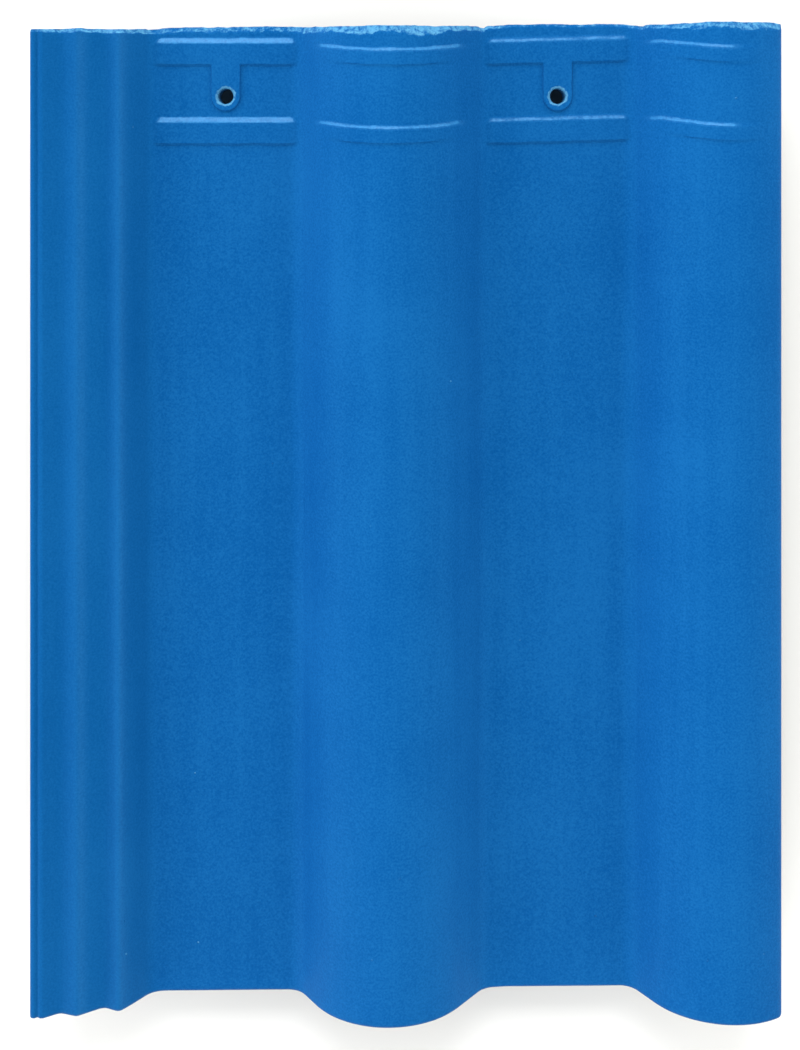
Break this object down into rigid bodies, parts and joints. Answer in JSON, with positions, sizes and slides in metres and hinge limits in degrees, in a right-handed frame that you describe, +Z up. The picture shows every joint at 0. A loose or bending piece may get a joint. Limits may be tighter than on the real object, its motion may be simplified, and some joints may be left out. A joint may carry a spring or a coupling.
{
  "type": "roof tile",
  "caption": "Interlocking concrete roof tile with flat pans between rounded rolls, a grooved side lock, weather bars and nail holes at its head, and claws below.",
  "frame": {"origin": "on the floor under the middle of the tile, at the level of the claw bottoms", "axes": "+X across the tile from the under-lock to the over-lock, +Y from tail to head, +Z up to the weather side"},
  "size_m": [0.33, 0.435, 0.0523],
  "materials": {
    "coated_concrete": "satin"
  },
  "bodies": {
    "root": {"roof_tile": "coated_concrete"}
  },
  "joints": []
}
